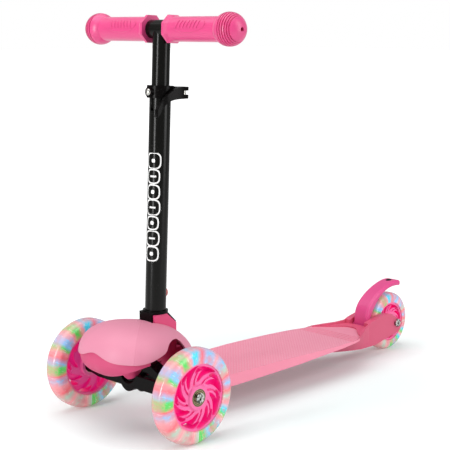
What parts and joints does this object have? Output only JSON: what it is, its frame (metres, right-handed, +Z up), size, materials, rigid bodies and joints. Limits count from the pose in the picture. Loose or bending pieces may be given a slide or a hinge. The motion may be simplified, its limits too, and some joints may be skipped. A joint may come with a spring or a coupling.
{
  "type": "kick scooter",
  "caption": "Small child's kick scooter with twin lean-steered front wheels, low deck, folding height-adjustable stem, T handlebar and foot brake over the rear wheel.",
  "frame": {"origin": "on the floor below the middle of the scooter's length, in the middle plane", "axes": "+Z up, +Y from the front wheels to the rear wheel, +X to the rider's left"},
  "size_m": [0.2784, 0.6283, 0.5189],
  "materials": {
    "cover_pink": "satin moulded plastic, light pink",
    "trim_pink": "satin moulded plastic, deep pink",
    "deck_pink": "fine textured plastic, light pink",
    "brake_pink": "satin moulded plastic, hot pink",
    "grip_pink": "soft grip, hot pink",
    "hub_pink": "moulded plastic, bright pink",
    "clear_tyre": "clear polyurethane",
    "lamp": "small clear lamps",
    "black_tube": "satin black paint",
    "black_plastic": "black moulded plastic",
    "button_red": "red plastic",
    "steel": "zinc-plated steel",
    "brass_ring": "bearing steel, pale gold tint",
    "black_rubber": "black rubber"
  },
  "bodies": {
    "frame": {"front_cover": "cover_pink", "front_trim": "trim_pink", "front_housing": "trim_pink", "kingpin_bolt": "steel", "kingpin_bush": "black_rubber", "fold_pin": "steel", "deck_board": "deck_pink", "under_frame": "trim_pink", "brake_pin": "steel", "rear_axle_bolt": "steel", "rear_axle_nut": "steel", "rear_axle_spacers": "steel"},
    "truck": {"lower_beam": "black_plastic", "left_brace": "black_plastic", "right_brace": "black_plastic", "brace_screws": "steel", "left_axle_bolt": "steel", "right_axle_bolt": "steel", "left_axle_washer": "steel", "right_axle_washer": "steel"},
    "stem": {"stem_root": "black_plastic", "lower_tube": "black_tube", "tube_bushing": "black_plastic", "clamp_collar": "black_plastic", "clamp_skewer": "steel", "clamp_nut": "steel", "clamp_seat": "black_plastic", "clamp_barrel": "steel"},
    "fold_button": {"fold_release_button": "button_red"},
    "height_button": {"height_button": "steel"},
    "clamp_lever": {"clamp_lever": "black_plastic"},
    "handlebar": {"upper_tube": "black_tube", "crossbar": "black_tube", "left_grip": "grip_pink", "right_grip": "grip_pink", "tube_end_plug": "black_plastic"},
    "brake": {"brake_fender": "brake_pink", "brake_pad": "black_rubber", "brake_rivet": "steel"},
    "front_left_wheel": {"front_left_wheel_tyre": "clear_tyre", "front_left_wheel_hub": "hub_pink", "front_left_wheel_lamps": "lamp", "front_left_wheel_bearings": "brass_ring", "front_left_wheel_spacer": "steel"},
    "front_right_wheel": {"front_right_wheel_tyre": "clear_tyre", "front_right_wheel_hub": "hub_pink", "front_right_wheel_lamps": "lamp", "front_right_wheel_bearings": "brass_ring", "front_right_wheel_spacer": "steel"},
    "rear_wheel": {"rear_wheel_tyre": "clear_tyre", "rear_wheel_hub": "hub_pink", "rear_wheel_lamps": "lamp", "rear_wheel_bearings": "brass_ring", "rear_wheel_spacer": "steel"}
  },
  "joints": [
    {"name": "lean_steer", "type": "hinge", "parent": "frame", "child": "truck", "pos_m": [0, -0.2405, 0.062], "axis": [0, -0.7071, 0.7071], "range_deg": [-12, 12], "stiffness_Nm_per_rad": 60},
    {"name": "front_left_spin", "type": "hinge", "parent": "truck", "child": "front_left_wheel", "pos_m": [0.103, -0.2455, 0.06], "axis": [1, 0, 0], "continuous": true},
    {"name": "front_right_spin", "type": "hinge", "parent": "truck", "child": "front_right_wheel", "pos_m": [-0.103, -0.2455, 0.06], "axis": [1, 0, 0], "continuous": true},
    {"name": "rear_spin", "type": "hinge", "parent": "frame", "child": "rear_wheel", "pos_m": [0, 0.2695, 0.045], "axis": [1, 0, 0], "continuous": true},
    {"name": "stem_fold", "type": "hinge", "parent": "frame", "child": "stem", "pos_m": [0, -0.2035, 0.114], "axis": [-1, 0, 0], "range_deg": [0, 84]},
    {"name": "fold_button_press", "type": "slide", "parent": "stem", "child": "fold_button", "axis": [0, -0.9991, 0.0424], "range_m": [0, 0.003], "stiffness_N_per_m": 1500},
    {"name": "height_slide", "type": "slide", "parent": "stem", "child": "handlebar", "axis": [0, 0.0424, 0.9991], "range_m": [0, 0.09]},
    {"name": "height_button_press", "type": "slide", "parent": "stem", "child": "height_button", "axis": [0, 0.9991, -0.0424], "range_m": [0, 0.0015], "stiffness_N_per_m": 1500},
    {"name": "clamp_lever_swing", "type": "hinge", "parent": "stem", "child": "clamp_lever", "pos_m": [0.0195, -0.17935, 0.42023], "axis": [0, 0.0424, 0.9991], "range_deg": [0, 150]},
    {"name": "brake_press", "type": "hinge", "parent": "frame", "child": "brake", "pos_m": [0, 0.2115, 0.047], "axis": [-1, 0, 0], "range_deg": [0, 2.8], "stiffness_Nm_per_rad": 60}
  ]
}
